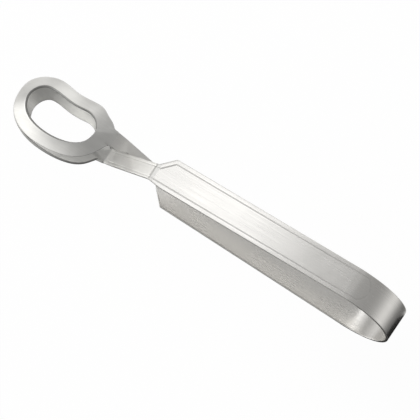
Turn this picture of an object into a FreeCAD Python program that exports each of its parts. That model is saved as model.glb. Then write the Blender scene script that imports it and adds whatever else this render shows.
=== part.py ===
import FreeCAD, Part
import math
import os
import Sketcher

# Self-closing serving tongs with open ring jaws: one stamped strip of sheet
# steel, folded at its middle into a U-shaped spring. The two ends cross over
# each other and each carries a dished ring, so squeezing the handles opens the
# jaws. The strip is split here where it flexes and where its section changes.
#
# The row frame: the flat outer face of the lower handle lies on z = 0 with its
# middle at the origin, +X runs along that handle towards the spring bend, and
# the upper handle is above it. The tongs' own centre line passes through the
# middle of the bend and leans down towards the jaws by the handles' taper. On
# that line, X is counted from the jaws' tip, and Y is the same as in the row.
# The upper handle's arm is the lower one turned half round about that line.

V = FreeCAD.Vector
doc = FreeCAD.newDocument("tongs")

DIMENSIONS = {
    "strip_width": 12.7,
    "sheet_metal": 1.0,
    "bend_radius": 19.0,      # outer radius of the spring bend
    "taper": 4.43,            # degrees between a handle and the centre line
    "leg_length": 79.5,       # flat length of a handle, bend to shoulder
    "tip_to_bend": 146.0,     # jaw tip to the middle of the bend
    "bend_in_handle": 30.0,   # degrees of the bend that each handle carries
    "shoulder_run": 4.9,      # length of the slanted shoulder
    "inner_side": -1.2,       # where the shoulder ends, just past the centre line
    "handle_end": 3.7,        # shoulder corner to the end of the handle piece
    "waist_side": 1.4,        # inner side of the lower neck where the upper one passes it
    "waist_root": 2.1,        # crease to the start of that waist, along X
    "waist_end": 6.1,         # neck's tip to the end of the waist, on the centre line
    "waist_fade": 2.3,        # neck's tip to where the neck is wide again
    "wide_side": -0.9,        # inner side of the lower neck from there to its tip
    "neck_root_side": 5.6,    # centre line to a neck's outer side, at the handle
    "neck_tip_side": 5.1,     # the same at the jaw
    "neck_tip": 40.2,         # jaw tip to where a neck meets its jaw
    "crease_radius": 1.0,     # inside radius of the fold from handle to neck
    "rim_lift": 0.4,          # height of a jaw's rim over the centre line, at its tip
    "rim_slope": 0.13,        # rise of the rim for each mm from the tip
    "hole_height": 7.2,       # height of a jaw's hole edge over the centre line
    "hole_setback": 2.3,      # how much wider the lower jaw's band is towards its tip
    "setback_reach": 16.0,    # how far from the tip that widening fades out
    "line_inset": 1.75,       # edge of the handle to the middle of its border line
    "line_inset_neck": 1.15,  # the same on the neck
    "line_width": 0.7,
    "line_depth": 0.25,
    "line_end_angle": 24.0,   # degrees round the bend to the border line's end
    "line_end_radius": 5.5,   # plan radius of the border line's rounded end
}

dims = doc.addObject("Spreadsheet::Sheet", "dims")
for row, (alias, number) in enumerate(DIMENSIONS.items(), start=1):
    dims.set("A%d" % row, alias)
    dims.set("B%d" % row, str(number))
    dims.setAlias("B%d" % row, alias)
doc.recompute()


def cell(alias):
    """A driving dimension, as the sheet holds it."""
    return float(dims.get(alias))


WIDTH = cell("strip_width")
HALF_WIDTH = WIDTH / 2
SHEET = cell("sheet_metal")
BEND = cell("bend_radius")
HALF_LEG = cell("leg_length") / 2
TAPER = math.radians(cell("taper"))
SHARE = math.radians(cell("bend_in_handle"))
WHOLE_BEND = math.pi + 2 * TAPER
HANDLE_END = -(HALF_LEG + cell("handle_end"))
INNER_SIDE = cell("inner_side")
WAIST_SIDE = cell("waist_side")
WIDE_SIDE = cell("wide_side")
NECK_TIP = cell("neck_tip")
LINE_DEPTH = cell("line_depth")
CLEAR = 2.0    # how far a cutting shape stands past the metal
UNTWISTED = 1  # ruled surfaces join their edges start to start

LINE_TILT = FreeCAD.Rotation(V(0, 1, 0), -cell("taper"))
BEND_CENTRE = V(HALF_LEG, 0, BEND)
ON_LINE = FreeCAD.Placement(
    BEND_CENTRE - LINE_TILT.multVec(V(cell("tip_to_bend"), 0, 0)), LINE_TILT)
HALF_TURN = FreeCAD.Placement(
    V(0, 0, 0), FreeCAD.Rotation(LINE_TILT.multVec(V(1, 0, 0)), 180), BEND_CENTRE)
UNMOVED = FreeCAD.Placement()


def side_point(vector):
    """A point in the X-Z plane, as a sketch of the side view holds it."""
    return V(vector.x, vector.z, 0)


def on_bend(radius, angle):
    """A point of the bend in the side view, the angle counted from the lower handle."""
    return V(HALF_LEG + radius * math.sin(angle), BEND - radius * math.cos(angle), 0)


def touching_ends(sketch, first, second):
    """Which end of each of two edges (1 its start, 2 its end) is the one they share."""
    def gap(ends):
        return sketch.getPoint(first, ends[0]).distanceToPoint(sketch.getPoint(second, ends[1]))
    return min(((a, b) for a in (1, 2) for b in (1, 2)), key=gap)


def draw(sketch, steps, closed=True):
    """Draws an outline: each step is a point, or (middle, end) for an arc."""
    def last(step):
        return step[1] if isinstance(step, tuple) else step

    here = last(steps[-1]) if closed else steps[0]
    for step in steps if closed else steps[1:]:
        if isinstance(step, tuple):
            sketch.addGeometry(Part.Arc(here, step[0], step[1]))
        else:
            sketch.addGeometry(Part.LineSegment(here, step))
        here = last(step)
    count = len(sketch.Geometry)
    for index in range(count if closed else count - 1):
        following = (index + 1) % count
        one, other = touching_ends(sketch, index, following)
        sketch.addConstraint(
            Sketcher.Constraint("Coincident", index, one, following, other))


def bind_radius(sketch, index, expression):
    """Ties an arc's radius to the sheet."""
    place = sketch.addConstraint(
        Sketcher.Constraint("Radius", index, sketch.Geometry[index].Radius))
    sketch.setExpression("Constraints[%d]" % place, expression)


def padded(name, plane, steps, length, radii=()):
    """A body: one closed sketch, padded evenly to both sides of an origin plane."""
    body = doc.addObject("PartDesign::Body", name)
    sketch = body.newObject("Sketcher::SketchObject", name + "_sketch")
    origin_plane = [f for f in body.Origin.OriginFeatures if f.Role == plane][0]
    sketch.AttachmentSupport = [(origin_plane, "")]
    sketch.MapMode = "FlatFace"
    draw(sketch, steps)
    for index, expression in radii:
        bind_radius(sketch, index, expression)
    pad = body.newObject("PartDesign::Pad", name + "_pad")
    pad.Profile = (sketch, [""])
    pad.SideType = "Symmetric"
    pad.setExpression("Length", length)
    return body


def boolean(kind, name, base, tool):
    result = doc.addObject(kind, name)
    result.Base = base
    result.Tool = tool
    return result


# ------------------------------------------------------------- folded section
def leg_section(outer, inner):
    """Side view of a handle between two depths, counted inwards from its outer face."""
    near, far = BEND - outer, BEND - inner
    return [
        V(HALF_LEG, outer, 0),
        (on_bend(near, SHARE / 2), on_bend(near, SHARE)),
        on_bend(far, SHARE),
        (on_bend(far, SHARE / 2), V(HALF_LEG, inner, 0)),
        V(HANDLE_END, inner, 0),
        V(HANDLE_END, outer, 0),
    ]


def rim_height(along):
    """Height of a jaw's rim over the centre line, in the middle of its thickness."""
    return cell("rim_lift") + cell("rim_slope") * along


# The neck leaves the handle round the crease and runs straight to the jaw. Its
# middle is the tangent from the jaw's root to the crease's middle arc.
CREASE_CENTRE = V(-HALF_LEG - cell("shoulder_run"), SHEET + cell("crease_radius"), 0)
NECK_TIP_MIDDLE = side_point(ON_LINE.multVec(V(NECK_TIP, 0, rim_height(NECK_TIP))))
CREASE_MIDDLE = cell("crease_radius") + SHEET / 2
REACH = NECK_TIP_MIDDLE - CREASE_CENTRE
NECK_SLOPE = math.atan2(REACH.y, -REACH.x) + math.asin(CREASE_MIDDLE / REACH.Length)
TIP_UPRIGHT = V(-math.sin(TAPER), math.cos(TAPER), 0)
TIP_STRETCH = 1 / math.cos(NECK_SLOPE + TAPER)


def crease_point(depth, angle):
    radius = cell("crease_radius") + SHEET - depth
    return CREASE_CENTRE + V(-math.sin(angle), -math.cos(angle), 0) * radius


def neck_tip_point(depth):
    return NECK_TIP_MIDDLE + TIP_UPRIGHT * ((depth - SHEET / 2) * TIP_STRETCH)


def neck_section(outer, inner):
    """Side view of a neck between two depths, counted inwards from its outer face."""
    return [
        V(CREASE_CENTRE.x, outer, 0),
        (crease_point(outer, NECK_SLOPE / 2), crease_point(outer, NECK_SLOPE)),
        neck_tip_point(outer),
        neck_tip_point(inner),
        crease_point(inner, NECK_SLOPE),
        (crease_point(inner, NECK_SLOPE / 2), V(CREASE_CENTRE.x, inner, 0)),
        V(HANDLE_END, inner, 0),
        V(HANDLE_END, outer, 0),
    ]


# ------------------------------------------------------------------ plan view
SHOULDER = V(-HALF_LEG, -HALF_WIDTH, 0)
SHOULDER_FOOT = V(CREASE_CENTRE.x, INNER_SIDE, 0)
PAST_TIP = NECK_TIP_MIDDLE.x - CLEAR


def neck_x(past):
    """X of the neck's middle, at a distance past its tip on the centre line."""
    return NECK_TIP_MIDDLE.x + past * math.cos(NECK_SLOPE) / math.cos(NECK_SLOPE + TAPER)


# The inner side of each neck beyond the shoulder. The necks pass each other just
# off the centre line: the lower one is waisted to make room for the upper one.
INNER_SIDES = {
    "lower": [
        V(CREASE_CENTRE.x - cell("waist_root"), WAIST_SIDE, 0),
        V(neck_x(cell("waist_end")), WAIST_SIDE, 0),
        V(neck_x(cell("waist_fade")), WIDE_SIDE, 0),
        V(PAST_TIP, WIDE_SIDE, 0),
    ],
    "upper": [V(PAST_TIP, INNER_SIDE, 0)],
}


def outer_side(x):
    """The neck's outer side, which narrows evenly from its root to its tip."""
    share = (x - CREASE_CENTRE.x) / (NECK_TIP_MIDDLE.x - CREASE_CENTRE.x)
    return cell("neck_root_side") * (1 - share) + cell("neck_tip_side") * share


def arm_outline(level):
    """Plan of an arm of the strip: straight on one side, stepped in on the other."""
    past_bend = HALF_LEG + BEND + CLEAR
    return [
        V(past_bend, -HALF_WIDTH, 0),
        SHOULDER,
        SHOULDER_FOOT,
        *INNER_SIDES[level],
        V(PAST_TIP, outer_side(PAST_TIP), 0),
        V(CREASE_CENTRE.x, cell("neck_root_side"), 0),
        V(-HALF_LEG, HALF_WIDTH, 0),
        V(past_bend, HALF_WIDTH, 0),
    ]


def border_path(level):
    """Middle of the coined border line: down one side, round the end and back."""
    inset, neck_inset = cell("line_inset"), cell("line_inset_neck")
    side = HALF_WIDTH - inset
    slant = SHOULDER_FOOT - SHOULDER
    corner = V(SHOULDER.x + inset * math.tan(math.atan2(slant.y, -slant.x) / 2), -side, 0)
    inner = [p + V(0, neck_inset, 0) for p in INNER_SIDES[level]]
    meet = corner + slant * ((inner[0].y - corner.y) / slant.y)
    end = HALF_LEG + BEND * math.sin(math.radians(cell("line_end_angle")))
    radius = cell("line_end_radius")
    turn = end - radius + math.sqrt(radius ** 2 - side ** 2)
    return [
        *reversed(inner[1:] or inner),
        meet,
        corner,
        V(turn, -side, 0),
        (V(end, 0, 0), V(turn, side, 0)),
        V(CREASE_CENTRE.x, side, 0),
        V(PAST_TIP, outer_side(PAST_TIP) - neck_inset, 0),
    ]


def add_border_tool(name, level):
    """The border line as an upright wall, to be cut into the metal's outer skin."""
    path = doc.addObject("Sketcher::SketchObject", name + "_path")
    draw(path, border_path(level), closed=False)
    ribbon = doc.addObject("Part::Offset2D", name + "_ribbon")
    ribbon.Source = path
    ribbon.Join = "Intersection"
    ribbon.setExpression("Value", "dims.line_width / 2")
    wall = doc.addObject("Part::Extrusion", name + "_wall")
    wall.Base = ribbon
    wall.DirMode = "Custom"
    wall.Dir = V(0, 0, 1)
    wall.Symmetric = True
    wall.Solid = True
    wall.setExpression("LengthFwd", "4 * dims.bend_radius")
    return wall


# -------------------------------------------------------------- the arm pieces
def add_arm_piece(name, level, section, radii, place):
    """A folded piece of an arm: its side view and its plan, less the border line."""
    fold = padded(name + "_fold", "XZ_Plane", section(0, SHEET), "dims.strip_width", radii)
    outline = padded(name + "_outline", "XY_Plane", arm_outline(level),
                     "4 * dims.bend_radius")
    blank = boolean("Part::Common", name + "_blank", fold, outline)
    skin = padded(name + "_skin", "XZ_Plane", section(-CLEAR, LINE_DEPTH),
                  "dims.strip_width")
    line = boolean("Part::Common", name + "_line", skin,
                   add_border_tool(name + "_line", level))
    piece = boolean("Part::Cut", name, blank, line)
    piece.Placement = place
    return piece


def add_spring_bend():
    """The middle of the bend, between the shares that the two handles carry."""
    inner = BEND - SHEET
    first, last = SHARE, WHOLE_BEND - SHARE
    middle = (first + last) / 2
    section = [
        on_bend(BEND, first),
        (on_bend(BEND, middle), on_bend(BEND, last)),
        on_bend(inner, last),
        (on_bend(inner, middle), on_bend(inner, first)),
    ]
    return padded("spring_bend", "XZ_Plane", section, "dims.strip_width", [
        (1, "dims.bend_radius"),
        (3, "dims.bend_radius - dims.sheet_metal"),
    ])


# ------------------------------------------------------------------- the jaws
# Each jaw is a bean-shaped ring with its dent on the +Y side, dished from its
# rim up to its hole. A station is a point of the rim and the hole point facing
# it, in plan on the centre line.
RING = [
    ((33.4, -9.8), (29.4, -7.0)),
    ((26.4, -12.9), (24.4, -9.1)),
    ((18.0, -13.7), (18.2, -9.8)),
    ((9.6, -12.4), (11.6, -8.8)),
    ((2.9, -8.0), (7.0, -6.0)),
    ((0.4, -1.0), (4.9, -1.3)),
    ((1.4, 5.2), (5.9, 2.4)),
    ((5.0, 9.0), (8.0, 4.7)),
    ((9.7, 10.9), (10.8, 5.6)),
    ((13.5, 11.0), (14.2, 5.5)),
    ((19.2, 10.1), (19.2, 4.9)),
    ((24.2, 10.1), (24.2, 5.0)),
    ((28.0, 10.3), (27.6, 5.2)),
    ((30.7, 9.9), (29.8, 4.5)),
    ((33.8, 8.2), (31.5, 3.2)),
]
# Where the ring gives way to the tab that meets the neck: the stations before
# and after the common ones, then the tab's corners, each facing its hole point.
OUTER_SIDE = cell("neck_tip_side")
UPPER_ROOT = (
    [((39.2, WIDE_SIDE), (32.9, -1.2)), ((37.3, -5.0), (32.1, -4.0))],
    [((36.2, 7.0), (32.2, 2.1)), ((38.3, 5.15), (32.7, 1.2))],
    [((NECK_TIP, OUTER_SIDE), (32.9, 0.5)), ((NECK_TIP, WIDE_SIDE), (32.95, -0.4))],
)
LOWER_ROOT = (
    [((37.0, -5.3), (32.1, -4.0))],
    [((37.0, 4.8), (32.4, 1.8)), ((39.0, -INNER_SIDE), (32.95, 0.1))],
    [((NECK_TIP, -INNER_SIDE), (32.9, -1.3)), ((NECK_TIP, -OUTER_SIDE), (32.6, -2.6))],
)


def edge_of(points, knots):
    """A straight edge between two points, or a smooth one through several."""
    if len(points) == 2:
        return Part.LineSegment(points[0], points[1]).toShape()
    curve = Part.BSplineCurve()
    curve.interpolate(Points=points, Parameters=knots)
    return curve.toShape()


def skins(rim, hole, height_sign):
    """Rim and hole points on the sheet's two faces, from a station in plan."""
    low = V(rim[0], rim[1], rim_height(rim[0]))
    high = V(hole[0], hole[1], cell("hole_height"))
    climb = high - low
    run = math.hypot(climb.x, climb.y)
    across = V(-climb.x * climb.z / run, -climb.y * climb.z / run, run)
    across.normalize()
    if rim[0] >= NECK_TIP:
        across = V(0, 0, TIP_STRETCH)
    half = across * (SHEET / 2)
    corners = [low + half, low - half, high + half, high - half]
    return [V(p.x, p.y, p.z * height_sign) for p in corners]


def strip_faces(stations, height_sign):
    """The four faces of a stretch of the ring, between neighbouring stations."""
    points = [skins(rim, hole, height_sign) for rim, hole in stations]
    middles = [(rim[0] + hole[0], rim[1] + hole[1]) for rim, hole in stations]
    knots = [0.0]
    for before, after in zip(middles, middles[1:]):
        knots.append(knots[-1] + math.hypot(after[0] - before[0], after[1] - before[1]))
    rim_out, rim_in, hole_out, hole_in = [
        edge_of([corner[k] for corner in points], knots) for k in range(4)]
    pairs = [(rim_out, hole_out), (rim_in, hole_in), (rim_out, rim_in), (hole_out, hole_in)]
    return [Part.makeRuledSurface(one, other, UNTWISTED) for one, other in pairs]


def set_back(station, amount):
    """A station with its hole point moved away from the tip, most at the tip itself."""
    rim, (along, across) = station
    return rim, (along + amount * max(0, 1 - along / cell("setback_reach")), across)


def add_jaw(name, root, side, setback):
    """A ring jaw, dished to the given side, with the tab by which it meets its neck."""
    start, end, corners = root
    around = start + [set_back(station, setback) for station in RING] + end
    tab = [around[-1], *corners, around[0]]
    faces = []
    for stretch in (around, tab[:2], tab[1:3], tab[2:]):
        faces += strip_faces(stretch, side)
    shell = Part.Shell(faces)
    shell.sewShape()
    solid = Part.makeSolid(Part.Shell(shell.Faces))
    if solid.Volume < 0:
        solid.reverse()
    jaw = doc.addObject("Part::Feature", name)
    jaw.Shape = solid
    jaw.Placement = ON_LINE
    return jaw


# ------------------------------------------------------------------ the tongs
LEG_RADII = [(1, "dims.bend_radius"), (3, "dims.bend_radius - dims.sheet_metal")]
NECK_RADII = [(1, "dims.crease_radius + dims.sheet_metal"), (5, "dims.crease_radius")]

pieces = [add_spring_bend()]
for level, place in (("lower", UNMOVED), ("upper", HALF_TURN)):
    pieces.append(add_arm_piece(level + "_handle", level, leg_section, LEG_RADII, place))
    pieces.append(
        add_arm_piece(level + "_handle_neck", level, neck_section, NECK_RADII, place))
pieces.append(add_jaw("upper_jaw", UPPER_ROOT, 1, 0))
pieces.append(add_jaw("lower_jaw", LOWER_ROOT, -1, cell("hole_setback")))

doc.recompute()
for thing in doc.Objects:
    if "Invalid" in thing.State or "Error" in thing.State:
        raise RuntimeError("%s: %s" % (thing.Label, thing.State))

os.makedirs("parts", exist_ok=True)
for piece in pieces:
    shape = piece.Shape
    if shape.isNull() or not shape.isValid() or len(shape.Solids) != 1:
        raise RuntimeError("%s has no single valid solid" % piece.Label)
    box = shape.BoundBox
    print("%-20s %8.1f mm3  x %7.2f %7.2f  y %6.2f %6.2f  z %6.2f %6.2f" % (
        piece.Label, shape.Volume, box.XMin, box.XMax, box.YMin, box.YMax, box.ZMin, box.ZMax))
    shape.exportStep("parts/%s.step" % piece.Label)
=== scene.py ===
import bpy
import math
import numpy as np
from mathutils import Matrix, Vector


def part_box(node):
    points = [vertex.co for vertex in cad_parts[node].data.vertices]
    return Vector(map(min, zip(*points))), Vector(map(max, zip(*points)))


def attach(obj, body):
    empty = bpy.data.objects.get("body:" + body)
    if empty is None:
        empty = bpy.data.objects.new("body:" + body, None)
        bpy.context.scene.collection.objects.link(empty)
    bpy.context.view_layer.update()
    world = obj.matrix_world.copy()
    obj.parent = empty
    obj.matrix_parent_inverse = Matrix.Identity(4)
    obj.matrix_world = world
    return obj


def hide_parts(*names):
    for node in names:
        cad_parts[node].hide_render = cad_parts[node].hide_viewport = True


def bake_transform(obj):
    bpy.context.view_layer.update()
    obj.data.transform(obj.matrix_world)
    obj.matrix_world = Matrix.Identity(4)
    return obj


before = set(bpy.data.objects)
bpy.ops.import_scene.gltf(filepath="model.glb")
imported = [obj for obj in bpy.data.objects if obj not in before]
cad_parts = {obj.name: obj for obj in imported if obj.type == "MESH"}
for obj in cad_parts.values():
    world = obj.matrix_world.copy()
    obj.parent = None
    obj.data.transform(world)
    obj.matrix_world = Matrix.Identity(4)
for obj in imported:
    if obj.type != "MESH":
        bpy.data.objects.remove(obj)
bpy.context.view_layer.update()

# Self-closing tongs, folded from one strip of satin stainless steel. Every CAD
# node is one stretch of the strip, and is replaced here by a finer mesh of the
# same stretch: eased sheet edges, a soft coined border line, smooth dished
# rings. All lengths below are in millimetres, as in the CAD part.
MM = 0.001

# ------------------------------------------------------------------ dimensions
HALF_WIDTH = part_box("spring_bend")[1].y / MM
SHEET = 1.0
HALF_SHEET = SHEET / 2
BEND = 19.0                     # outer radius of the bend
HALF_LEG = 39.75                # half of a handle's straight length
TAPER = math.radians(4.43)      # lean of each handle to the tongs' centre line
SHARE = math.radians(30)        # how much of the bend is each handle's
TIP_TO_BEND = 146.0             # from the jaws' tip to the middle of the bend
SHOULDER_RUN = 4.9              # the handle narrows to the neck over this length
HANDLE_END = -(HALF_LEG + 3.7)  # handle and neck are cut here, across the shoulder
INNER_SIDE = -1.2               # Y of the necks' inner sides, where they pass
WIDE_SIDE = -0.9                # the same at the lower arm's tip
WAIST_SIDE = 1.4                # and at its waist
WAIST_ROOT = 2.1                # the waist starts this far past the crease
WAIST_END = 6.1                 # it ends this far before the neck's tip
WAIST_FADE = 2.3                # and the neck is wide again this far before it
NECK_ROOT_SIDE = 5.6            # Y of the necks' outer sides, at the crease
NECK_TIP_SIDE = 5.1             # and at the neck's tip
NECK_TIP = 40.2                 # from the jaws' tip to the fold of neck and jaw
CREASE_RADIUS = 1.0
RIM_LIFT = 0.4                  # height of a rim's plane at the jaws' tip
RIM_SLOPE = 0.13
HOLE_HEIGHT = 7.2
HOLE_SETBACK = 2.3              # the lower ring's band is wider by this at its tip
SETBACK_REACH = 16.0
LINE_INSET = 1.75               # the border line's distance from the edge
LINE_INSET_NECK = 1.15
LINE_HALF_WIDTH = 0.3
LINE_DEPTH = 0.08
LINE_END_ANGLE = math.radians(24)   # where it crosses the bend
LINE_END_RADIUS = 5.5

OUTER_EASE = 0.2      # rounding of the sheet's edges, on the outer face
INNER_EASE = 0.14     # the same on the inner face
EASE_STEPS = 3
TIP_BLEND = 4.0       # the fold from neck to jaw is spread over this, each way
OUTLINE_BLUR = 0.25   # how much the stamped outline's corners are rounded
LINE_BLUR = 0.12      # the same for the border line
LINE_FADE_START = 0.6  # the border line runs out this far from the neck's tip
LINE_FADE = 1.2

# The rings' stations, as (rim point, hole point) in plan on the tongs' centre
# line, X counted from the jaws' tip.
RING = [
    ((33.4, -9.8), (29.4, -7.0)),
    ((26.4, -12.9), (24.4, -9.1)),
    ((18.0, -13.7), (18.2, -9.8)),
    ((9.6, -12.4), (11.6, -8.8)),
    ((2.9, -8.0), (7.0, -6.0)),
    ((0.4, -1.0), (4.9, -1.3)),
    ((1.4, 5.2), (5.9, 2.4)),
    ((5.0, 9.0), (8.0, 4.7)),
    ((9.7, 10.9), (10.8, 5.6)),
    ((13.5, 11.0), (14.2, 5.5)),
    ((19.2, 10.1), (19.2, 4.9)),
    ((24.2, 10.1), (24.2, 5.0)),
    ((28.0, 10.3), (27.6, 5.2)),
    ((30.7, 9.9), (29.8, 4.5)),
    ((33.8, 8.2), (31.5, 3.2)),
]
UPPER_ROOT = {
    "start": [((39.2, WIDE_SIDE), (32.9, -1.2)), ((37.3, -5.0), (32.1, -4.0))],
    "end": [((36.2, 7.0), (32.2, 2.1)), ((38.3, 5.15), (32.7, 1.2))],
    "tab": [(32.9, 0.5), (32.95, -0.4)],
    "corners": [(NECK_TIP, WIDE_SIDE), (NECK_TIP, NECK_TIP_SIDE)],
}
LOWER_ROOT = {
    "start": [((37.0, -5.3), (32.1, -4.0))],
    "end": [((37.0, 4.8), (32.4, 1.8)), ((39.0, -INNER_SIDE), (32.95, 0.1))],
    "tab": [(32.9, -1.3), (32.6, -2.6)],
    "corners": [(NECK_TIP, -NECK_TIP_SIDE), (NECK_TIP, -INNER_SIDE)],
}

COS_T = math.cos(TAPER)
SIN_T = math.sin(TAPER)
LINE_X = HALF_LEG - TIP_TO_BEND * COS_T
LINE_Z = BEND - TIP_TO_BEND * SIN_T


def to_line(x, z):
    """(along, height) on the tongs' centre line of a point (x, z) in the CAD frame."""
    dx, dz = x - LINE_X, z - LINE_Z
    return dx * COS_T + dz * SIN_T, -dx * SIN_T + dz * COS_T


def to_frame(points):
    """Points (along, y, height) on the centre line, to the CAD frame."""
    points = np.asarray(points, float)
    x = LINE_X + points[:, 0] * COS_T - points[:, 2] * SIN_T
    z = LINE_Z + points[:, 0] * SIN_T + points[:, 2] * COS_T
    return np.stack([x, points[:, 1], z], axis=1)


def rim_height(along):
    """Height of a ring's rim over the centre line, at a distance from the jaws' tip."""
    return RIM_LIFT + RIM_SLOPE * along


# ------------------------------------------------------- side view of the neck
CREASE_X = -HALF_LEG - SHOULDER_RUN
CREASE_Z = SHEET + CREASE_RADIUS
TIP_HEIGHT = rim_height(NECK_TIP)
_tip = to_frame([[NECK_TIP, 0, TIP_HEIGHT]])[0]
TIP_X, TIP_Z = _tip[0], _tip[2]
_reach = (TIP_X - CREASE_X, TIP_Z - CREASE_Z)
NECK_SLOPE = (math.atan2(_reach[1], -_reach[0])
              + math.asin((CREASE_RADIUS + HALF_SHEET) / math.hypot(*_reach)))
NECK_FALL = math.tan(NECK_SLOPE + TAPER)
TAB_RISE = (HOLE_HEIGHT - TIP_HEIGHT) / (NECK_TIP - UPPER_ROOT["tab"][0][0])
TIP_SLOPE = (NECK_FALL + TAB_RISE) / 2


def tip_softening(along):
    """How far the fold at the neck's tip is lowered by rounding it."""
    past = np.clip(TIP_BLEND - np.abs(np.asarray(along) - NECK_TIP), 0, None)
    return -(NECK_FALL - TAB_RISE) * past ** 2 / (4 * TIP_BLEND)


TIP_NORMAL = np.array([TIP_SLOPE, 0, 1]) / math.hypot(TIP_SLOPE, 1)


# ------------------------------------------------------------------ plan curves
CURVE_START, CURVE_END, CURVE_STEP = -75.0, 70.0, 0.02


def bell(reach, width):
    """Weights of a blur, out to reach points each way; width is its sigma in points."""
    weights = np.exp(-0.5 * (np.arange(-reach, reach + 1) / width) ** 2)
    return weights / weights.sum()


def blurred(corners, sigma):
    """A curve y(x) through corners, its kinks rounded; returns y(x) and its slope."""
    corners = sorted(corners)
    xs = np.arange(CURVE_START, CURVE_END, CURVE_STEP)
    ys = np.interp(xs, [c[0] for c in corners], [c[1] for c in corners])
    reach = int(4 * sigma / CURVE_STEP)
    padded = np.concatenate([np.full(reach, ys[0]), ys, np.full(reach, ys[-1])])
    ys = np.convolve(padded, bell(reach, sigma / CURVE_STEP), mode="valid")
    slopes = np.gradient(ys, CURVE_STEP)
    return (lambda x: np.interp(x, xs, ys)), (lambda x: np.interp(x, xs, slopes))


PAST_TIP = TIP_X - 2.0      # the necks' sides are drawn to a little past their tip


def outer_side(x):
    """Y of a neck's outer side."""
    share = (x - CREASE_X) / (TIP_X - CREASE_X)
    return NECK_ROOT_SIDE * (1 - share) + NECK_TIP_SIDE * share


SIDE = HALF_WIDTH - LINE_INSET
SLANT = (-SHOULDER_RUN, INNER_SIDE + HALF_WIDTH)
LINE_CORNER_X = -HALF_LEG + LINE_INSET * math.tan(math.atan2(SLANT[1], -SLANT[0]) / 2)
LINE_END = HALF_LEG + BEND * math.sin(LINE_END_ANGLE)
ARC_X = LINE_END - LINE_END_RADIUS
LINE_TURN = ARC_X + math.sqrt(LINE_END_RADIUS ** 2 - SIDE ** 2)


def neck_x(past):
    """X of the neck's middle, at a distance past its tip on the centre line."""
    return TIP_X + past * math.cos(NECK_SLOPE) / math.cos(NECK_SLOPE + TAPER)


# The inner side of each neck beyond the shoulder: the lower one is waisted.
INNER_SIDES = {
    "lower": [
        (CREASE_X - WAIST_ROOT, WAIST_SIDE),
        (neck_x(WAIST_END), WAIST_SIDE),
        (neck_x(WAIST_FADE), WIDE_SIDE),
        (PAST_TIP, WIDE_SIDE),
    ],
    "upper": [(PAST_TIP, INNER_SIDE)],
}


def inner_edge(level):
    """The left edge of an arm: the handle's, the shoulder and the neck's inner side."""
    corners = [(-HALF_LEG, -HALF_WIDTH), (CREASE_X, INNER_SIDE), *INNER_SIDES[level]]
    return blurred(corners, OUTLINE_BLUR)


def inner_line(level):
    """The border line along that edge."""
    inner = [(x, y + LINE_INSET_NECK) for x, y in INNER_SIDES[level]]
    meet_x = LINE_CORNER_X + SLANT[0] * (inner[0][1] + SIDE) / SLANT[1]
    return blurred([(LINE_CORNER_X, -SIDE), (meet_x, inner[0][1]), *inner[1:]], LINE_BLUR)


LEFT = {level: (*inner_edge(level), *inner_line(level)) for level in ("lower", "upper")}
right_edge, right_slope = blurred([
    (-HALF_LEG, HALF_WIDTH),
    (CREASE_X, NECK_ROOT_SIDE),
    (PAST_TIP, outer_side(PAST_TIP)),
], OUTLINE_BLUR)
right_line, right_line_slope = blurred([
    (CREASE_X, SIDE),
    (PAST_TIP, outer_side(PAST_TIP) - LINE_INSET_NECK),
], LINE_BLUR)


def line_depth(level, x, y, fade):
    """Depth of the coined border line below the outer face."""
    left_line, left_line_slope = LEFT[level][2:]
    left = np.abs(y - left_line(x)) / np.sqrt(1 + left_line_slope(x) ** 2)
    right = np.abs(y - right_line(x)) / np.sqrt(1 + right_line_slope(x) ** 2)
    sides = np.minimum(left, right)
    ends = np.hypot(x - LINE_TURN, np.abs(y) - SIDE)
    sides = np.where(x <= LINE_TURN, sides, ends)
    arc = np.abs(np.hypot(x - ARC_X, y) - LINE_END_RADIUS)
    arc = np.where(x >= LINE_TURN, arc, ends)
    near = np.clip(1 - np.minimum(sides, arc) / LINE_HALF_WIDTH, 0, 1)
    return LINE_DEPTH * fade * near * near * (3 - 2 * near)


# ------------------------------------------------------------------- mesh tools
class Piece:
    """A closed mesh in the making.

    Each point has a UV along and across the strip, how much it is an eased edge
    and how deep in the border line; each face, if it is a cut end. Sheets are the
    grids of points of a jaw's two faces, with how much their shading is evened out.
    """

    def __init__(self, name):
        self.name = name
        self.points = []
        self.uvs = []
        self.edge = []
        self.line = []
        self.faces = []
        self.cut = []
        self.sheets = []

    def add(self, points, uvs, edge, line):
        """Adds a row of points and returns their numbers."""
        first = len(self.points)
        self.points.extend(map(tuple, points))
        self.uvs.extend(map(tuple, uvs))
        self.edge.extend(edge)
        self.line.extend(line)
        return np.arange(first, len(self.points))

    def bridge(self, one, other, closed=True, flip=False):
        """Quads between two rows of points."""
        count = len(one)
        for k in range(count if closed else count - 1):
            j = (k + 1) % count
            quad = [one[k], one[j], other[j], other[k]]
            self.faces.append([int(v) for v in (quad[::-1] if flip else quad)])
            self.cut.append(False)

    def cap(self, ring, flip=False):
        """One face over a cut end."""
        ring = [int(v) for v in ring]
        self.faces.append(ring[::-1] if flip else ring)
        self.cut.append(True)


def ease(radius):
    """(inset, drop) of the points round an eased edge, from the face to the wall."""
    angles = [math.pi / 2 * (k + 1) / EASE_STEPS for k in range(EASE_STEPS)]
    return [(radius * (1 - math.sin(a)), radius * (1 - math.cos(a))) for a in angles]


# ------------------------------------------------------------------ the arms
def stations(*spans):
    """Values over spans given as (start, end, count), leaving out the very first."""
    return np.concatenate([np.linspace(start, end, count + 1)[1:]
                           for start, end, count in spans])


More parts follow.
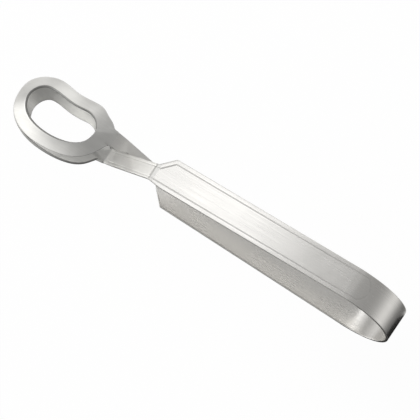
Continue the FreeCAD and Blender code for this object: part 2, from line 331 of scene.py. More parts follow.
# Columns of the outer face: through the border line, and as shares of the panel
# between the lines and of the band from edge to line.
LINE_OFFSETS = np.array([-1, -0.72, -0.45, -0.2, 0, 0.2, 0.45, 0.72, 1]) * LINE_HALF_WIDTH
PANEL = stations((0, 0.2, 8), (0.2, 0.8, 10), (0.8, 1, 8))[:-1]
BAND = np.array([0.35, 0.7])

# Rows are close together round the border line's end, at the shoulder and at
# both ends of the neck.
BEND_TOP = TAPER + math.pi / 2
LINE_END_PAST = math.radians(18)
SHOULDER_BEFORE = -37.5
NECK_ROOT_CLOSE = 2.8
NECK_TIP_CLOSE = 7.0
BEND_ROWS = [(BEND_TOP, SHARE, 40), (SHARE, LINE_END_PAST, 40), (LINE_END_PAST, 0, 12)]
HANDLE_ROWS = [(HALF_LEG, SHOULDER_BEFORE, 30), (SHOULDER_BEFORE, HANDLE_END, 30),
               (HANDLE_END, CREASE_X, 6)]
CREASE_ROWS = [(0, NECK_SLOPE, 12)]
SAME = 1e-9           # rows nearer than this are one and the same


def outer_columns(level, x):
    """Y of the outer face's points at x, from edge to edge."""
    left_edge, left_slope, left_line, left_line_slope = LEFT[level]
    low = left_edge(x) + OUTER_EASE * math.hypot(1, left_slope(x))
    high = right_edge(x) - OUTER_EASE * math.hypot(1, right_slope(x))
    left = left_line(x) + LINE_OFFSETS * math.hypot(1, left_line_slope(x))
    right = right_line(x) + LINE_OFFSETS * math.hypot(1, right_line_slope(x))
    return np.concatenate([
        [low],
        low + (left[0] - low) * BAND,
        left,
        left[-1] + (right[0] - left[-1]) * PANEL,
        right,
        high + (right[-1] - high) * BAND[::-1],
        [high],
    ])


COLUMNS = len(outer_columns("lower", 0.0))


def arm_rows():
    """The lower arm from the middle of its bend to the neck's tip, as
    (outer point x, z, normal x, z, length along the strip, line's fade)."""
    rows, marks = [], {}
    for angle in [BEND_TOP, *stations(*BEND_ROWS)]:
        rows.append((HALF_LEG + BEND * math.sin(angle), BEND - BEND * math.cos(angle),
                     -math.sin(angle), math.cos(angle), -angle * BEND, 1.0))
        if abs(angle - SHARE) < SAME:
            marks["bend_end"] = len(rows) - 1
    for x in stations(*HANDLE_ROWS):
        rows.append((x, 0.0, 0.0, 1.0, HALF_LEG - x, 1.0))
        if abs(x - HANDLE_END) < SAME:
            marks["handle_end"] = len(rows) - 1
    run = HALF_LEG - CREASE_X
    outer = CREASE_RADIUS + SHEET
    for angle in stations(*CREASE_ROWS):
        rows.append((CREASE_X - outer * math.sin(angle), CREASE_Z - outer * math.cos(angle),
                     math.sin(angle), math.cos(angle), run + outer * angle, 1.0))
    run += outer * NECK_SLOPE
    middle = CREASE_RADIUS + HALF_SHEET
    start = to_line(CREASE_X - middle * math.sin(NECK_SLOPE),
                    CREASE_Z - middle * math.cos(NECK_SLOPE))[0]
    length = start - NECK_TIP
    for past in stations(
            (0, NECK_ROOT_CLOSE, 12), (NECK_ROOT_CLOSE, length - NECK_TIP_CLOSE, 8),
            (length - NECK_TIP_CLOSE, length - TIP_BLEND, 18), (length - TIP_BLEND, length, 10)):
        along = start - past
        beyond = along - NECK_TIP
        height = TIP_HEIGHT - NECK_FALL * beyond + float(tip_softening(along))
        slope = NECK_FALL - (NECK_FALL - TAB_RISE) * max(0, TIP_BLEND - beyond) / (2 * TIP_BLEND)
        normal = np.array([slope, 1]) / math.hypot(slope, 1)
        outer_point = np.array([along, height]) - normal * HALF_SHEET
        row_point = to_frame([[outer_point[0], 0, outer_point[1]]])[0]
        fade = np.clip((beyond - LINE_FADE_START) / LINE_FADE, 0, 1)
        rows.append((row_point[0], row_point[2],
                     normal[0] * COS_T - normal[1] * SIN_T,
                     normal[0] * SIN_T + normal[1] * COS_T,
                     run + past / math.cos(NECK_SLOPE + TAPER), float(fade)))
    return rows, marks


def arm_loop(level, row):
    """One closed section of an arm: outer face, right edge, inner face, left edge."""
    left_edge, left_slope = LEFT[level][:2]
    x, z, nx, nz, run, fade = row
    inner_x = x + nx * SHEET
    outer_y = outer_columns(level, x)
    depth = line_depth(level, np.full(COLUMNS, x), outer_y, fade)
    low, high = left_edge(inner_x), right_edge(inner_x)
    low_in = low + INNER_EASE * math.hypot(1, left_slope(inner_x))
    high_in = high - INNER_EASE * math.hypot(1, right_slope(inner_x))
    share = (outer_y - outer_y[0]) / (outer_y[-1] - outer_y[0])
    inner_y = low_in + share * (high_in - low_in)
    spread_right = math.hypot(1, right_slope(x))
    spread_left = math.hypot(1, left_slope(x))
    right_out = [(right_edge(x) - i * spread_right, d) for i, d in ease(OUTER_EASE)]
    right_in = [(high - i * spread_right, SHEET - d) for i, d in ease(INNER_EASE)][::-1]
    left_in = [(low + i * spread_left, SHEET - d) for i, d in ease(INNER_EASE)]
    left_out = [(left_edge(x) + i * spread_left, d) for i, d in ease(OUTER_EASE)][::-1]
    ys = np.concatenate([
        outer_y, [p[0] for p in right_out + right_in], inner_y[::-1],
        [p[0] for p in left_in + left_out]])
    depths = np.concatenate([
        depth, [p[1] for p in right_out + right_in], np.full(COLUMNS, SHEET),
        [p[1] for p in left_in + left_out]])
    face, easing = np.zeros(COLUMNS), np.ones(2 * EASE_STEPS)
    edge = np.concatenate([face, easing, face, easing])
    line = np.concatenate([depth / LINE_DEPTH, 0 * easing, face, 0 * easing])
    across = to_line(x + nx * depths, z + nz * depths)
    points = np.stack([across[0], ys, across[1]], axis=1)
    uvs = np.stack([np.full(len(ys), run * MM), ys * MM], axis=1)
    return points, uvs, edge, line


ARM_ROWS, MARKS = arm_rows()
ARM_LOOPS = {level: [arm_loop(level, row) for row in ARM_ROWS] for level in LEFT}
SEAM_RUN = ARM_ROWS[-1][4]
HALF_TURN = np.array([1, -1, -1])
UNTURNED = np.array([1, 1, 1])


def arm_piece(name, level, first, last, turn):
    """The stretch of an arm between two of its sections, with its ends closed."""
    piece = Piece(name)
    before = None
    for k in range(first, last + 1):
        points, uvs, edge, line = ARM_LOOPS[level][k]
        here = piece.add(points * turn, uvs, edge, line)
        if before is not None:
            piece.bridge(before, here, flip=True)
        else:
            piece.cap(here, flip=True)
        before = here
    piece.cap(before)
    return piece


# ------------------------------------------------------------------- the jaws
def spline(knots, values):
    """Natural cubic spline through values at knots."""
    knots, values = np.asarray(knots, float), np.asarray(values, float)
    gaps = np.diff(knots)
    count = len(knots)
    system, rhs = np.eye(count), np.zeros(count)
    for i in range(1, count - 1):
        before, after = gaps[i - 1], gaps[i]
        system[i, i - 1:i + 2] = before, 2 * (before + after), after
        rhs[i] = 6 * ((values[i + 1] - values[i]) / after - (values[i] - values[i - 1]) / before)
    second = np.linalg.solve(system, rhs)

    def at(t):
        """The spline's values at t."""
        i = np.clip(np.searchsorted(knots, t) - 1, 0, count - 2)
        h, a, b = gaps[i], knots[i + 1] - t, t - knots[i]
        low = values[i] / h - second[i] * h / 6
        high = values[i + 1] / h - second[i + 1] * h / 6
        return (second[i] * a ** 3 + second[i + 1] * b ** 3) / (6 * h) + low * a + high * b

    return at


FINE = 0.05           # spacing of the outlines' points, before rows are chosen
RIM_BLUR = 5          # rounding of the rim's kinks, in points
ROW_LENGTH = 0.6      # a row of the ring is at most this long
ROW_TURN = math.radians(7)  # and turns by no more than this
BAND_STEPS = 14
ROOT_SWEEPS = 500     # relaxation of the dish, full where the ring runs into its neck
ROOT_START = 24.0
ROOT_FADE = 8.0
ROOT_LEAST = 0.12
FREE_START = 32.0     # from here on the rim's height follows the metal beside it
FREE_FADE = 4.0
FREE_PACE = 0.5
SOFT_START = 28.0     # from here on the shading is evened out as well
SOFT_FADE = 4.0
SOFT_SWEEPS = 260


def blurred_path(path, width):
    """A path of closely spaced points, its kinks rounded."""
    reach = 4 * width
    before = 2 * path[0] - path[1:reach + 1][::-1]
    after = 2 * path[-1] - path[-reach - 1:-1][::-1]
    padded = np.concatenate([before, path, after])
    kernel = bell(reach, width)
    return np.stack([np.convolve(padded[:, k], kernel, mode="valid") for k in range(2)], axis=1)


def ring_paths(root, setback):
    """Finely spaced rim and hole points, from one corner of the tab round to the other."""
    around = [
        *root["start"],
        *[(rim, (h[0] + setback * max(0, 1 - h[0] / SETBACK_REACH), h[1])) for rim, h in RING],
        *root["end"],
    ]
    rim = np.array([s[0] for s in around])
    hole = np.array([s[1] for s in around])
    middle = (rim + hole) / 2
    knots = np.concatenate([[0], np.cumsum(np.linalg.norm(np.diff(middle, axis=0), axis=1))])
    t = np.arange(0, knots[-1], FINE)
    rims = np.stack([spline(knots, rim[:, k])(t) for k in range(2)], axis=1)
    holes = np.stack([spline(knots, hole[:, k])(t) for k in range(2)], axis=1)
    first, last = np.array(root["corners"])
    tab_last, tab_first = np.array(root["tab"])

    def leg(start, end, hole_start, hole_end):
        """Rim and hole points along a straight run."""
        steps = int(np.linalg.norm(np.subtract(end, start)) / FINE)
        share = np.linspace(0, 1, steps, endpoint=False)[:, None]
        return start + (end - start) * share, hole_start + (hole_end - hole_start) * share

    lead = leg(first, rims[0], tab_first, holes[0])
    tail = leg(rims[-1], last, holes[-1], tab_last)
    rims = np.concatenate([lead[0], rims[:-1], tail[0], [last]])
    holes = np.concatenate([lead[1], holes[:-1], tail[1], [tab_last]])
    return blurred_path(rims, RIM_BLUR), holes, tab_first, tab_last


def chosen_rows(rims, holes):
    """Fewer rows where the outline runs straight, more where it turns."""
    def cost(path):
        """How many rows each step of a path is worth."""
        step = np.diff(path, axis=0)
        heading = np.unwrap(np.arctan2(step[:, 1], step[:, 0]))
        turning = np.abs(np.concatenate([[0], np.diff(heading)]))
        return np.linalg.norm(step, axis=1) / ROW_LENGTH + turning / ROW_TURN

    total = np.concatenate([[0], np.cumsum(np.maximum(cost(rims), cost(holes)))])
    count = int(round(total[-1]))
    picks = np.searchsorted(total, np.linspace(0, total[-1], count + 1)[1:-1])
    return np.unique(np.concatenate([[0], picks, [len(rims) - 1]]))


def unit(vectors):
    """The vectors at length 1."""
    return vectors / np.linalg.norm(vectors, axis=-1, keepdims=True)


def jaw_piece(name, root, setback, seam_y, up):
    """A ring jaw as a closed mesh. It is built dished upwards, and turned over if up is -1."""
    rims, holes, tab_first, tab_last = ring_paths(root, setback)
    rows = chosen_rows(rims, holes)
    ring_rim, ring_hole = rims[rows], holes[rows]
    tab_y = seam_y[1:-1]
    first_y, last_y = [corner[1] for corner in root["corners"]]
    share = (tab_y - last_y) / (first_y - last_y)
    tab_hole = tab_last + (tab_first - tab_last) * share[:, None]
    ring_count, tab_count = len(rows), len(tab_y)
    count = ring_count + tab_count

    # Rim and hole edges in the middle of the sheet, with the tab's rows last.
    hole_plan = np.concatenate([ring_hole, tab_hole])
    seam = np.stack([np.full(tab_count, NECK_TIP), tab_y], axis=1)
    rim_plan = np.concatenate([ring_rim, seam])
    hole_edge = np.column_stack([hole_plan, np.full(count, HOLE_HEIGHT)])
    rim_edge = np.column_stack([rim_plan, rim_height(rim_plan[:, 0])])
    towards_rim = unit(rim_edge - hole_edge)

    def along_path(edge, closed):
        """Unit vectors along a path."""
        if closed:
            return unit(np.roll(edge, -1, axis=0) - np.roll(edge, 1, axis=0))
        return unit(np.gradient(edge, axis=0))

    rim_way = along_path(rim_edge[:ring_count], closed=False)
    hole_way = along_path(hole_edge, closed=True)

    def inwards(way, guide):
        """Unit vectors across a path, in the plane of the path and the guide."""
        return unit(guide - np.sum(guide * way, axis=1, keepdims=True) * way)

    rim_in = inwards(rim_way, -towards_rim[:ring_count])
    rim_in[0] = 0, last_y - first_y, 0
    rim_in[-1] = -rim_in[0]
    rim_in = unit(rim_in)
    hole_out = inwards(hole_way, towards_rim)

    # The middle surface, column by column from the rim or the seam to the hole.
    rim_inner = rim_edge.copy()
    rim_inner[:ring_count] += rim_in * OUTER_EASE
    hole_inner = hole_edge + hole_out * OUTER_EASE
    steps = np.linspace(0, 1, BAND_STEPS)[None, :, None]
    grid = rim_inner[:, None, :] * (1 - steps) + hole_inner[:, None, :] * steps
    on_seam = np.r_[0, np.arange(ring_count - 1, count)]
    near_root = np.clip((grid[:, 1:-1, 0] - ROOT_START) / ROOT_FADE, ROOT_LEAST, 1)
    free = np.clip((grid[:, 0, 0] - FREE_START) / FREE_FADE, 0, 1)
    free[on_seam] = 0
    for _ in range(ROOT_SWEEPS):
        rim = grid[:, 0, 2]
        beside = (np.roll(rim, 1) + np.roll(rim, -1)) / 2
        onward = 2 * grid[:, 1, 2] - grid[:, 2, 2]
        grid[:, 0, 2] += ((beside + onward) / 2 - rim) * free * FREE_PACE
        smooth = (np.roll(grid[:, 1:-1, 2], 1, axis=0) + np.roll(grid[:, 1:-1, 2], -1, axis=0)
                  + grid[:, :-2, 2] + grid[:, 2:, 2]) / 4
        grid[:, 1:-1, 2] += (smooth - grid[:, 1:-1, 2]) * near_root
    rim_edge[:ring_count, 2] += grid[:ring_count, 0, 2] - rim_inner[:ring_count, 2]
    grid[..., 2] += tip_softening(grid[..., 0])
    rim_edge[:, 2] += tip_softening(rim_edge[:, 0])

    ways = np.roll(grid, -1, axis=0) - np.roll(grid, 1, axis=0)
    climbs = np.gradient(grid, axis=1)
    normals = unit(np.cross(ways, climbs))
    normals *= np.sign(normals[..., 2:])
    normals[on_seam, 0] = TIP_NORMAL

    piece = Piece(name)
    flip = up < 0
    turn = np.array([1, 1, up])

    def put(points, edge):
        """Adds a column of points, all of them on an eased edge (1) or none (0)."""
        runs = SEAM_RUN * MM + (NECK_TIP - points[:, 0]) * MM
        uvs = np.stack([runs, points[:, 1] * MM], axis=1)
        plain = np.zeros(len(points))
        return piece.add(points * turn, uvs, plain + edge, plain)

    over = [put(grid[:, k] + normals[:, k] * HALF_SHEET, 0) for k in range(BAND_STEPS)]
    under = [put(grid[:, k] - normals[:, k] * HALF_SHEET, 0) for k in range(BAND_STEPS)]
    for k in range(BAND_STEPS - 1):
        piece.bridge(over[k], over[k + 1], flip=not flip)
        piece.bridge(under[k], under[k + 1], flip=flip)

    def eased(edge, inward, normal, top_radius, low_radius):
        """Columns round a sheet edge, from the upper face to the lower one."""
        columns = []
        for radius, side in ((top_radius, 1), (low_radius, -1)):
            around = [edge + inward * i + normal * (side * (HALF_SHEET - d))
                      for i, d in ease(radius)]
            columns += around if side > 0 else around[::-1]
        return [put(c, 1) for c in columns]

    hole_columns = [
        over[-1],
        *eased(hole_edge, hole_out, normals[:, -1], INNER_EASE, OUTER_EASE),
        under[-1],
    ]
    for one, other in zip(hole_columns, hole_columns[1:]):
        piece.bridge(one, other, flip=not flip)
    ring = slice(0, ring_count)
    rim_columns = [
        over[0][ring],
        *eased(rim_edge[ring], rim_in, normals[ring, 0], INNER_EASE, OUTER_EASE),
        under[0][ring],
    ]
    for one, other in zip(rim_columns, rim_columns[1:]):
        piece.bridge(one, other, closed=False, flip=flip)

    # The end that meets the neck.
    cap = [c[-1] for c in rim_columns]
    cap += list(under[0][ring_count:])
    cap += [c[0] for c in rim_columns[::-1]]
    cap += list(over[0][ring_count:][::-1])
    piece.cap(cap, flip=flip)
    weights = np.clip((grid[..., 0] - SOFT_START) / SOFT_FADE, 0, 1)
    weights[on_seam, 0] = 0
    piece.sheets = [(np.stack(over, axis=1), weights), (np.stack(under, axis=1), weights)]
    return piece


seams = {level: loops[-1][0][:COLUMNS, 1] for level, loops in ARM_LOOPS.items()}
bend_end, handle_end, tip = MARKS["bend_end"], MARKS["handle_end"], len(ARM_ROWS) - 1
pieces = {}
for level, turn in (("lower", UNTURNED), ("upper", HALF_TURN)):
    for name, first, last in (
            ("spring_bend_%s_half" % level, 0, bend_end),
            ("%s_handle" % level, bend_end, handle_end),
            ("%s_handle_neck" % level, handle_end, tip)):
        pieces[name] = arm_piece(name, level, first, last, turn)
pieces["upper_jaw"] = jaw_piece("upper_jaw", UPPER_ROOT, 0, seams["lower"][::-1], 1)
pieces["lower_jaw"] = jaw_piece("lower_jaw", LOWER_ROOT, HOLE_SETBACK, -seams["upper"], -1)


# --------------------------------------------------------- normals and objects
TINY = 1e-12
KEY_GRID = 1e4        # two pieces' points meet if they agree to this part of a mm


def corner_normals(points, faces, cut):
    """Each point's normal from the faces round it, leaving out the cut ends."""
    sums = np.zeros_like(points)
    for face, ends in zip(faces, cut):
        if ends:
            continue
        p = points[face]
        area = np.cross(p[2] - p[0], p[3] - p[1])
        sums[face] += area / max(np.linalg.norm(area), TINY)
    return sums


def evened(sums, sheet, weights):
    """Point normals of a jaw's face, evened out where it runs into its neck."""
    field = unit(sums[sheet])
    for _ in range(SOFT_SWEEPS):
        padded = np.concatenate([field[:, :1], field, field[:, -1:]], axis=1)
        beside = np.roll(field, 1, axis=0) + np.roll(field, -1, axis=0)
        smooth = unit(beside + padded[:, :-2] + padded[:, 2:])
        field = unit(field + (smooth - field) * weights[..., None])
    sums[sheet] = field


def key(point):
    """What names a point, the same on every piece that has it."""
    return tuple(np.round(point * KEY_GRID).astype(int))


shared = {}
for piece in pieces.values():
    piece.points = to_frame(piece.points)
    piece.sums = corner_normals(piece.points, piece.faces, piece.cut)
    for sheet, weights in piece.sheets:
        evened(piece.sums, sheet, weights)
    for point, total in zip(piece.points, piece.sums):
        shared[key(point)] = shared.get(key(point), 0) + total


def make_object(piece):
    """The piece as a Blender object, shaded smooth across its seams."""
    mesh = bpy.data.meshes.new(piece.name)
    mesh.from_pydata((piece.points * MM).tolist(), [], piece.faces)
    mesh.update()
    uv = mesh.uv_layers.new(name="strip")
    loops = np.zeros(len(mesh.loops), int)
    mesh.loops.foreach_get("vertex_index", loops)
    uv.data.foreach_set("uv", np.array(piece.uvs)[loops].astype(np.float32).ravel())
    for name, values in (("edge", piece.edge), ("line", piece.line)):
        attribute = mesh.attributes.new(name, "FLOAT", "POINT")
        attribute.data.foreach_set("value", np.array(values, np.float32))
    mesh.polygons.foreach_set("use_smooth", [not c for c in piece.cut])
    vertex_normals = unit(np.array([shared[key(p)] for p in piece.points]))
    split = vertex_normals[loops]
    for polygon, ends in zip(mesh.polygons, piece.cut):
        if ends:
            split[polygon.loop_start:polygon.loop_start + polygon.loop_total] = polygon.normal
    mesh.normals_split_custom_set(split.tolist())
    thing = bpy.data.objects.new(piece.name, mesh)
    bpy.context.scene.collection.objects.link(thing)
    return thing


objects = {name: make_object(piece) for name, piece in pieces.items()}


# ------------------------------------------------------------------- materials
def node(tree, kind, inputs=(), **settings):
    """A new node. Its inputs are values, or sockets to link from."""
    made = tree.nodes.new(kind)
    for name, value in settings.items():
        setattr(made, name, value)
    for socket, value in dict(inputs).items():
        if isinstance(value, bpy.types.NodeSocket):
            tree.links.new(value, made.inputs[socket])
        else:
            made.inputs[socket].default_value = value
    return made


def bare_tree(owner):
    """The emptied node tree of a material or a world."""
    owner.use_nodes = True
    owner.node_tree.nodes.clear()
    return owner.node_tree


# Noise scales: the brushing along and across the strip, and the clouding.
FINE_GRAIN = (60, 2600)
COARSE_GRAIN = (35, 1500)
CLOUDS = 95
BROAD_CLOUDS = 28
GRAIN_CHOP = 0.6
CLOUD_CHOP = 0.55
NOISE_LOW, NOISE_HIGH = 0.3, 0.7    # what most of a noise lies between

# How far they swing the steel's brightness and roughness, and lift its surface.
FINE_SHADE = 0.014
CLOUD_SHADE = 0.02
BROAD_SHADE = 0.012
COARSE_ROUGH = 0.03
CLOUD_ROUGH = 0.025
EDGE_ROUGH = 0.1
COARSE_LIFT = 0.8
CLOUD_LIFT = 0.6
BUMP_STRENGTH = 0.035
BUMP_DISTANCE = 0.00004
LINE_PAINTED_SHADE = 0.12                    # painted shade: how much darker the border line's bottom is painted


def steel(name, rough, brush, tint, stretch, turned, painted_edge_shade, mottle):
    """Satin stainless steel: fine lengthwise grain, faint clouding, and eased edges darkened with
    painted shade.

    Stretch and turned are the shader's anisotropy and its rotation; brush and
    mottle are how strong the grain and the clouding are.
    """
    material = bpy.data.materials.new(name)
    tree = bare_tree(material)
    strip = node(tree, "ShaderNodeUVMap", uv_map="strip").outputs["UV"]
    place = node(tree, "ShaderNodeTexCoord").outputs["Object"]

    def grain(scales):
        scaled = node(tree, "ShaderNodeMapping", {"Vector": strip, "Scale": (*scales, 1)})
        return node(tree, "ShaderNodeTexNoise", {
            "Vector": scaled.outputs["Vector"], "Scale": 1.0, "Detail": 2,
            "Roughness": GRAIN_CHOP}).outputs["Fac"]

    def cloud(scale, detail):
        return node(tree, "ShaderNodeTexNoise", {
            "Vector": place, "Scale": scale, "Detail": detail,
            "Roughness": CLOUD_CHOP}).outputs["Fac"]

    def swung(noise, swing, middle=0.0):
        """A noise brought to a swing either way of a middle."""
        return node(tree, "ShaderNodeMapRange", {
            "Value": noise, "From Min": NOISE_LOW, "From Max": NOISE_HIGH,
            "To Min": middle - swing, "To Max": middle + swing}).outputs["Result"]

    def maths(operation, one, other):
        return node(tree, "ShaderNodeMath", {0: one, 1: other}, operation=operation).outputs[0]

    fine = grain(FINE_GRAIN)
    coarse = grain(COARSE_GRAIN)
    clouds = cloud(CLOUDS, 3)
    broad = cloud(BROAD_CLOUDS, 2)
    edge = node(tree, "ShaderNodeAttribute", attribute_name="edge").outputs["Fac"]
    line = node(tree, "ShaderNodeAttribute", attribute_name="line").outputs["Fac"]

    shade = maths("ADD", swung(fine, FINE_SHADE * brush), swung(clouds, CLOUD_SHADE * mottle))
    shade = maths("ADD", shade, swung(broad, BROAD_SHADE))
    # Painted shade: the eased edges' colour is darkened. It stands in for the dark sheen seen
    # along the sheet's edges.
    shade = maths("SUBTRACT", shade, maths("MULTIPLY", edge, painted_edge_shade))
    # Painted shade: the coined line's bottom is darkened, standing in for the shade in the
    # groove.
    shade = maths("SUBTRACT", shade, maths("MULTIPLY", line, LINE_PAINTED_SHADE))
    shade = maths("ADD", shade, 1.0)
    colour = node(tree, "ShaderNodeVectorMath", {0: tint, "Scale": shade}, operation="SCALE")
    roughness = maths("ADD", swung(coarse, COARSE_ROUGH, rough), swung(clouds, CLOUD_ROUGH))
    roughness = maths("ADD", roughness, maths("MULTIPLY", edge, EDGE_ROUGH))

    height = maths("ADD", maths("MULTIPLY", fine, brush),
                   maths("MULTIPLY", coarse, COARSE_LIFT * brush))
    height = maths("ADD", height, maths("MULTIPLY", clouds, CLOUD_LIFT))
    bump = node(tree, "ShaderNodeBump", {
        "Height": height, "Strength": BUMP_STRENGTH, "Distance": BUMP_DISTANCE})
    tangent = node(tree, "ShaderNodeTangent", direction_type="UV_MAP", uv_map="strip")
    shader = node(tree, "ShaderNodeBsdfPrincipled", {
        "Base Color": colour.outputs[0], "Metallic": 1.0, "Roughness": roughness,
        "Anisotropic": stretch, "Anisotropic Rotation": turned,
        "Tangent": tangent.outputs["Tangent"], "Normal": bump.outputs["Normal"]})
    node(tree, "ShaderNodeOutputMaterial", {"Surface": shader.outputs["BSDF"]})
    return material


handle_steel = steel("brushed_steel_handles", rough=0.25, brush=1.0, tint=(0.83, 0.82, 0.80),
                     stretch=0.2, turned=0.0, painted_edge_shade=0.12, mottle=1.0)
neck_steel = steel("brushed_steel_necks", rough=0.42, brush=1.6, tint=(0.92, 0.915, 0.895),
                   stretch=0.85, turned=0.25, painted_edge_shade=0.2, mottle=2.0)
jaw_steel = steel("satin_steel_jaws", rough=0.34, brush=2.0, tint=(0.80, 0.80, 0.785),
                  stretch=0.1, turned=0.0, painted_edge_shade=0.5, mottle=4.0)

BODY = {"lower_handle": "lower_arm", "lower_handle_neck": "lower_arm", "upper_jaw": "lower_arm",
        "upper_handle": "upper_arm", "upper_handle_neck": "upper_arm", "lower_jaw": "upper_arm"}
for name, thing in objects.items():
    thing.data.materials.append(
        jaw_steel if "jaw" in name else neck_steel if "neck" in name else handle_steel)
    if name in BODY:
        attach(thing, BODY[name])
        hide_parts(name)


# The two halves of the bend take the place of the CAD bend, their placement baked into their
# meshes.
for level in ("lower", "upper"):
    half = objects["spring_bend_%s_half" % level]
    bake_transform(half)
    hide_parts("spring_bend")

# ------------------------------------------------------------------------ stage
FLOOR_HEIGHT = -0.02  # low enough for the lower jaw to open fully
FLOOR_SIZE = 6
FLOOR_GLOW = 1.02     # an even white to the camera
PAPER_SHARE = 0.05    # the share of it that catches a shadow
WHITE = (1, 1, 1, 1)
PAPER_WHITE = (0.9, 0.9, 0.9, 1)
# the black of the card that stands in for the floor's shadow under the bend
SHADOW_CARD_BLACK = (0.02, 0.02, 0.02, 1)


def stage_plane(name, size, location, material_name):
    """A plane of the stage and the emptied node tree of its material."""
    bpy.ops.mesh.primitive_plane_add(size=size, location=location)
    plane = bpy.context.object
    plane.name = name
    material = bpy.data.materials.new(material_name)
    plane.data.materials.append(material)
    return plane, bare_tree(material)


floor, floor_tree = stage_plane("floor", FLOOR_SIZE, (0, 0, FLOOR_HEIGHT), "pale_floor")
glow = node(floor_tree, "ShaderNodeEmission", {"Color": WHITE, "Strength": FLOOR_GLOW})
paper = node(floor_tree, "ShaderNodeBsdfDiffuse", {"Color": PAPER_WHITE})
mixed = node(floor_tree, "ShaderNodeMixShader", {
    0: PAPER_SHARE, 1: glow.outputs[0], 2: paper.outputs[0]})
node(floor_tree, "ShaderNodeOutputMaterial", {"Surface": mixed.outputs[0]})
floor.visible_glossy = False
floor.visible_diffuse = False

# Painted shade: a black card under the bend, which only the metal mirrors, stands in for the
# floor's shadow there and gives the bend its dark far edge.
FLAG_PLACE = (0.062, -0.004, -0.004)
FLAG_SIZE = (0.05, 0.03, 1)
flag, flag_tree = stage_plane("flag", 1, FLAG_PLACE, "painted_shadow_card")
flag.scale = FLAG_SIZE
card = node(flag_tree, "ShaderNodeBsdfDiffuse", {"Color": SHADOW_CARD_BLACK})
node(flag_tree, "ShaderNodeOutputMaterial", {"Surface": card.outputs[0]})
flag.visible_camera = False
flag.visible_shadow = False

# The studio, which is what the metal mirrors: an even light, dimmer below the
# horizon, and soft lobes of light as (direction, strength). The strongest come
# from past the jaws and from low on the far side.
HIGH_LIGHT = 0.30     # the even light above the horizon
LOW_LIGHT = 0.10      # and below it
HORIZON = (-0.35, 0.05)
LIGHT_TINT = (1.0, 0.99, 0.97, 1)
LOBE_TIGHTNESS = 12.0
LOBES = [
    ((-0.951, -0.309, 0), 2.3),
    ((-0.588, -0.809, 0), 1.3),
    ((0, 1, 0), 0.95),
    ((-0.263, -0.809, 0.526), 0.55),
    ((0.951, 0.309, 0), 0.58),
    ((0.162, 0.5, 0.851), 0.08),
    ((-0.425, 0.309, 0.851), 0.06),
    ((-0.162, 0.5, -0.851), 2.5),
    ((-0.688, 0.5, -0.526), 0.45),
    ((-0.894, 0, -0.447), 0.21),
    ((0, 0, -1), 0.19),
]

world = bpy.data.worlds.new("studio")
bpy.context.scene.world = world
world_tree = bare_tree(world)
sky = node(world_tree, "ShaderNodeTexCoord").outputs["Generated"]
way = node(world_tree, "ShaderNodeVectorMath", {0: sky}, operation="NORMALIZE").outputs[0]


def world_maths(operation, one, other=0.0):
    """A sum on two values of the world's tree."""
    return node(world_tree, "ShaderNodeMath", {0: one, 1: other}, operation=operation).outputs[0]


height = node(world_tree, "ShaderNodeSeparateXYZ", {0: way}).outputs["Z"]
total = node(world_tree, "ShaderNodeMapRange", {
    "Value": height, "From Min": HORIZON[0], "From Max": HORIZON[1],
    "To Min": LOW_LIGHT, "To Max": HIGH_LIGHT}).outputs["Result"]
for direction, strength in LOBES:
    facing = node(world_tree, "ShaderNodeVectorMath", {0: way, 1: Vector(direction).normalized()},
                  operation="DOT_PRODUCT").outputs["Value"]
    fall = world_maths("MULTIPLY", world_maths("SUBTRACT", facing, 1.0), LOBE_TIGHTNESS)
    lobe = world_maths("MULTIPLY", world_maths("EXPONENT", fall), strength)
    total = world_maths("ADD", lobe, total)
studio = node(world_tree, "ShaderNodeBackground", {"Color": LIGHT_TINT, "Strength": total})
backdrop = node(world_tree, "ShaderNodeBackground", {"Color": WHITE, "Strength": 1.0})
seen = node(world_tree, "ShaderNodeLightPath").outputs["Is Camera Ray"]
both = node(world_tree, "ShaderNodeMixShader", {
    0: seen, 1: studio.outputs[0], 2: backdrop.outputs[0]})
node(world_tree, "ShaderNodeOutputWorld", {"Surface": both.outputs[0]})

bpy.context.scene.view_settings.view_transform = "Standard"

# Each strip light's place along the tongs and its power: together one graded softbox.
STRIPS = [(-0.23, 0.020), (-0.16, 0.020), (-0.13, 0.034), (-0.10, 0.040), (0.0, 0.005)]
STRIP_WIDTH = 0.04
STRIP_LENGTH = 0.26
STRIP_ASIDE = 0.06
STRIP_HEIGHT = 0.25


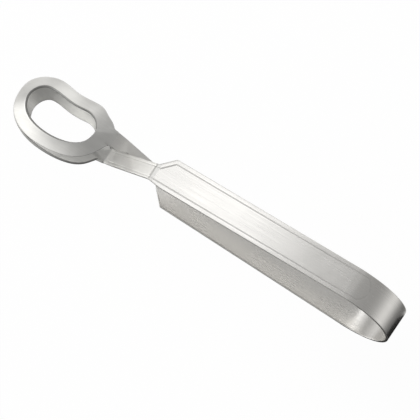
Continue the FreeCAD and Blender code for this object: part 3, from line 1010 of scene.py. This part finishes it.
def strip_light(name, along, power):
    """A strip light hung over the tongs, pointing straight down."""
    light = bpy.data.lights.new(name, "AREA")
    light.shape = "RECTANGLE"
    light.size, light.size_y = STRIP_WIDTH, STRIP_LENGTH
    light.energy = power
    thing = bpy.data.objects.new(name, light)
    thing.location = (along, STRIP_ASIDE, STRIP_HEIGHT)
    thing.visible_camera = False
    bpy.context.scene.collection.objects.link(thing)


for number, (along, power) in enumerate(STRIPS, start=1):
    strip_light("softbox_%d" % number, along, power)

# ----------------------------------------------------------------------- camera
VIEW_AZIMUTH = math.radians(33.469)
VIEW_ELEVATION = math.radians(73.578)
VIEW_ROLL = math.radians(-0.571)
FRAME_WIDTH = 154.24 * MM
FRAME_MIDDLE = (69.99, -43.73, 11.0)    # right of, above and in front of the jaws' tip
DISTANCE = 5.0
SENSOR = 36.0
back = Vector((math.sin(VIEW_AZIMUTH) * math.cos(VIEW_ELEVATION),
               -math.cos(VIEW_AZIMUTH) * math.cos(VIEW_ELEVATION), math.sin(VIEW_ELEVATION)))
right = Vector((math.cos(VIEW_AZIMUTH), math.sin(VIEW_AZIMUTH), 0))
above = back.cross(right)
turned_right = right * math.cos(VIEW_ROLL) + above * math.sin(VIEW_ROLL)
turned_above = above * math.cos(VIEW_ROLL) - right * math.sin(VIEW_ROLL)
middle = (turned_right * FRAME_MIDDLE[0] + turned_above * FRAME_MIDDLE[1]
          + back * FRAME_MIDDLE[2])
tilt = Matrix.Rotation(-TAPER, 3, "Y")
middle_point = Vector(to_frame([list(middle)])[0] * MM)
axes = [tilt @ v for v in (turned_right, turned_above, back)]
camera_data = bpy.data.cameras.new("camera")
camera_data.sensor_width = SENSOR
camera_data.lens = SENSOR * DISTANCE / FRAME_WIDTH
camera_data.clip_start = 0.5
camera_data.clip_end = 20.0
camera = bpy.data.objects.new("camera", camera_data)
bpy.context.scene.collection.objects.link(camera)
pose = Matrix(axes).transposed().to_4x4()
pose.translation = middle_point + axes[2] * DISTANCE
camera.matrix_world = pose
bpy.context.scene.camera = camera
